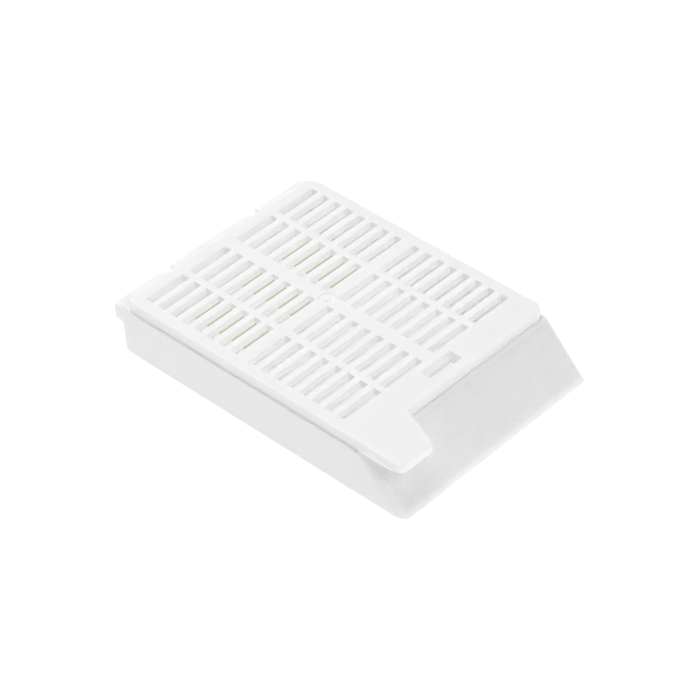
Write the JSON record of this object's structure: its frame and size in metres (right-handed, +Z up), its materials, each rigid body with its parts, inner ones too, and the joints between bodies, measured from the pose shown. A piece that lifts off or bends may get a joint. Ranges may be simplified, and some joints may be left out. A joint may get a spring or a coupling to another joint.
{
  "type": "tissue cassette",
  "caption": "Low rectangular slotted specimen cassette with a sloped writing face and a slotted hinged lid that snaps shut.",
  "frame": {"origin": "centre of the footprint, on the surface that the cassette rests on", "axes": "+X across the width, away from the thumb tab; +Y along the length, from the writing face to the hinge; +Z up"},
  "size_m": [0.0286, 0.0406, 0.0069],
  "materials": {
    "base_plastic": "white acetal, faintly satin, pebbled on the writing face",
    "lid_plastic": "white acetal, faintly satin"
  },
  "bodies": {
    "cassette_base": {"base": "base_plastic"},
    "cassette_lid": {"lid": "lid_plastic"}
  },
  "joints": [
    {"name": "lid_hinge", "type": "hinge", "parent": "cassette_base", "child": "cassette_lid", "pos_m": [0, 0.0194, 0.00508], "axis": [-1, 0, 0], "range_deg": [0, 170]}
  ]
}
